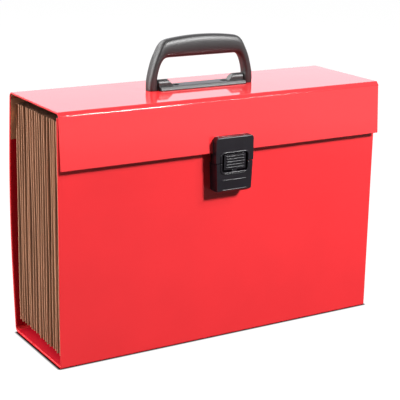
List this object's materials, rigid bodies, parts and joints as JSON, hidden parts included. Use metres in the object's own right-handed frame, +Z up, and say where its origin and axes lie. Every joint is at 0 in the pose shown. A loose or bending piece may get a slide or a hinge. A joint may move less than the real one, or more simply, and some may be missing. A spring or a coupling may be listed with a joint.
{
  "type": "expanding file box",
  "caption": "Laminated board file box with a hinged lid and front flap, a push-down latch, a folding carrying handle and a kraft concertina of index pockets that fans out.",
  "frame": {"origin": "middle of the underside, halfway between the ends and between the outer faces of the front and back boards", "axes": "+X to the right along the front, +Y towards the back, +Z up"},
  "size_m": [0.385, 0.1418, 0.3195],
  "materials": {
    "red_board": "greyboard wrapped in glossy laminated red paper",
    "red_paper": "matt red lining paper",
    "kraft_card": "uncoated brown kraft card",
    "black_plastic": "fine textured moulded plastic",
    "steel": "zinc plated"
  },
  "bodies": {
    "case": {"back_panel": "red_board", "base_panel": "red_board", "rear_bottom_crease": "red_board", "rear_top_crease": "red_board", "front_bottom_crease": "red_board", "back_lining": "kraft_card", "back_turn_in": "red_paper", "base_lining": "red_paper", "back_leaf": "kraft_card", "gusset_left": "kraft_card", "gusset_right": "kraft_card"},
    "lid": {"lid_panel": "red_board", "front_top_crease": "red_board", "lid_lining": "kraft_card", "handle_base": "black_plastic", "handle_rivets": "steel", "handle_backing_plate": "steel"},
    "flap": {"flap_panel": "red_board", "flap_lining": "kraft_card", "latch_hasp": "black_plastic", "hasp_rivets": "steel", "hasp_backing_plate": "steel"},
    "front": {"front_panel": "red_board", "front_lining": "red_paper", "front_leaf": "kraft_card", "latch_base": "black_plastic", "latch_base_rivets": "steel", "latch_backing_plate": "steel", "latch_spring": "steel"},
    "handle": {"handle_grip": "black_plastic", "handle_pins": "steel"},
    "slider": {"latch_slider": "black_plastic"},
    "divider_01": {"divider_01": "kraft_card"},
    "divider_02": {"divider_02": "kraft_card"},
    "divider_03": {"divider_03": "kraft_card"},
    "divider_04": {"divider_04": "kraft_card"},
    "divider_05": {"divider_05": "kraft_card"},
    "divider_06": {"divider_06": "kraft_card"},
    "divider_07": {"divider_07": "kraft_card"},
    "divider_08": {"divider_08": "kraft_card"},
    "divider_09": {"divider_09": "kraft_card"},
    "divider_10": {"divider_10": "kraft_card"},
    "divider_11": {"divider_11": "kraft_card"},
    "divider_12": {"divider_12": "kraft_card"},
    "divider_13": {"divider_13": "kraft_card"},
    "divider_14": {"divider_14": "kraft_card"},
    "divider_15": {"divider_15": "kraft_card"},
    "divider_16": {"divider_16": "kraft_card"},
    "divider_17": {"divider_17": "kraft_card"},
    "divider_18": {"divider_18": "kraft_card"}
  },
  "joints": [
    {"name": "lid_hinge", "type": "hinge", "parent": "case", "child": "lid", "pos_m": [0, 0.0565, 0.261], "axis": [-1, 0, 0], "range_deg": [0, 160]},
    {"name": "flap_hinge", "type": "hinge", "parent": "lid", "child": "flap", "pos_m": [0, -0.06125, 0.26175], "axis": [-1, 0, 0], "range_deg": [0, 170]},
    {"name": "handle_pivot", "type": "hinge", "parent": "lid", "child": "handle", "pos_m": [0, -0.0005, 0.2705], "axis": [1, 0, 0], "range_deg": [-85, 85]},
    {"name": "slider_press", "type": "slide", "parent": "front", "child": "slider", "axis": [0, 0, -1], "range_m": [0, 0.002], "stiffness_N_per_m": 400, "springref_m": -0.003, "deforming": ["latch_spring"]},
    {"name": "front_tilt", "type": "hinge", "parent": "case", "child": "front", "pos_m": [0, -0.0584, 0.0011], "axis": [1, 0, 0], "range_deg": [0, 15], "deforming": ["gusset_left", "gusset_right"]},
    {"name": "divider_01_tilt", "type": "hinge", "parent": "case", "child": "divider_01", "pos_m": [0, 0.05075, 0.0063], "axis": [1, 0, 0], "range_deg": [0, 0.79]},
    {"name": "divider_02_tilt", "type": "hinge", "parent": "case", "child": "divider_02", "pos_m": [0, 0.0448, 0.0063], "axis": [1, 0, 0], "range_deg": [0, 1.58]},
    {"name": "divider_03_tilt", "type": "hinge", "parent": "case", "child": "divider_03", "pos_m": [0, 0.03884, 0.0063], "axis": [1, 0, 0], "range_deg": [0, 2.37]},
    {"name": "divider_04_tilt", "type": "hinge", "parent": "case", "child": "divider_04", "pos_m": [0, 0.03289, 0.0063], "axis": [1, 0, 0], "range_deg": [0, 3.16]},
    {"name": "divider_05_tilt", "type": "hinge", "parent": "case", "child": "divider_05", "pos_m": [0, 0.02694, 0.0063], "axis": [1, 0, 0], "range_deg": [0, 3.95]},
    {"name": "divider_06_tilt", "type": "hinge", "parent": "case", "child": "divider_06", "pos_m": [0, 0.02098, 0.0063], "axis": [1, 0, 0], "range_deg": [0, 4.74]},
    {"name": "divider_07_tilt", "type": "hinge", "parent": "case", "child": "divider_07", "pos_m": [0, 0.01503, 0.0063], "axis": [1, 0, 0], "range_deg": [0, 5.53]},
    {"name": "divider_08_tilt", "type": "hinge", "parent": "case", "child": "divider_08", "pos_m": [0, 0.00908, 0.0063], "axis": [1, 0, 0], "range_deg": [0, 6.32]},
    {"name": "divider_09_tilt", "type": "hinge", "parent": "case", "child": "divider_09", "pos_m": [0, 0.00313, 0.0063], "axis": [1, 0, 0], "range_deg": [0, 7.11]},
    {"name": "divider_10_tilt", "type": "hinge", "parent": "case", "child": "divider_10", "pos_m": [0, -0.00283, 0.0063], "axis": [1, 0, 0], "range_deg": [0, 7.9]},
    {"name": "divider_11_tilt", "type": "hinge", "parent": "case", "child": "divider_11", "pos_m": [0, -0.00878, 0.0063], "axis": [1, 0, 0], "range_deg": [0, 8.69]},
    {"name": "divider_12_tilt", "type": "hinge", "parent": "case", "child": "divider_12", "pos_m": [0, -0.01473, 0.0063], "axis": [1, 0, 0], "range_deg": [0, 9.47]},
    {"name": "divider_13_tilt", "type": "hinge", "parent": "case", "child": "divider_13", "pos_m": [0, -0.02068, 0.0063], "axis": [1, 0, 0], "range_deg": [0, 10.26]},
    {"name": "divider_14_tilt", "type": "hinge", "parent": "case", "child": "divider_14", "pos_m": [0, -0.02664, 0.0063], "axis": [1, 0, 0], "range_deg": [0, 11.05]},
    {"name": "divider_15_tilt", "type": "hinge", "parent": "case", "child": "divider_15", "pos_m": [0, -0.03259, 0.0063], "axis": [1, 0, 0], "range_deg": [0, 11.84]},
    {"name": "divider_16_tilt", "type": "hinge", "parent": "case", "child": "divider_16", "pos_m": [0, -0.03854, 0.0063], "axis": [1, 0, 0], "range_deg": [0, 12.63]},
    {"name": "divider_17_tilt", "type": "hinge", "parent": "case", "child": "divider_17", "pos_m": [0, -0.04449, 0.0063], "axis": [1, 0, 0], "range_deg": [0, 13.42]},
    {"name": "divider_18_tilt", "type": "hinge", "parent": "case", "child": "divider_18", "pos_m": [0, -0.05045, 0.0063], "axis": [1, 0, 0], "range_deg": [0, 14.21]}
  ],
  "couplings": [
    {"joint": "front_tilt", "follows": "lid_hinge", "ratio": 0.09375},
    {"joint": "divider_01_tilt", "follows": "lid_hinge", "ratio": 0.0049342},
    {"joint": "divider_02_tilt", "follows": "lid_hinge", "ratio": 0.0098684},
    {"joint": "divider_03_tilt", "follows": "lid_hinge", "ratio": 0.014803},
    {"joint": "divider_04_tilt", "follows": "lid_hinge", "ratio": 0.019737},
    {"joint": "divider_05_tilt", "follows": "lid_hinge", "ratio": 0.024671},
    {"joint": "divider_06_tilt", "follows": "lid_hinge", "ratio": 0.029605},
    {"joint": "divider_07_tilt", "follows": "lid_hinge", "ratio": 0.034539},
    {"joint": "divider_08_tilt", "follows": "lid_hinge", "ratio": 0.039474},
    {"joint": "divider_09_tilt", "follows": "lid_hinge", "ratio": 0.044408},
    {"joint": "divider_10_tilt", "follows": "lid_hinge", "ratio": 0.049342},
    {"joint": "divider_11_tilt", "follows": "lid_hinge", "ratio": 0.054276},
    {"joint": "divider_12_tilt", "follows": "lid_hinge", "ratio": 0.059211},
    {"joint": "divider_13_tilt", "follows": "lid_hinge", "ratio": 0.064145},
    {"joint": "divider_14_tilt", "follows": "lid_hinge", "ratio": 0.069079},
    {"joint": "divider_15_tilt", "follows": "lid_hinge", "ratio": 0.074013},
    {"joint": "divider_16_tilt", "follows": "lid_hinge", "ratio": 0.078947},
    {"joint": "divider_17_tilt", "follows": "lid_hinge", "ratio": 0.083882},
    {"joint": "divider_18_tilt", "follows": "lid_hinge", "ratio": 0.088816}
  ]
}
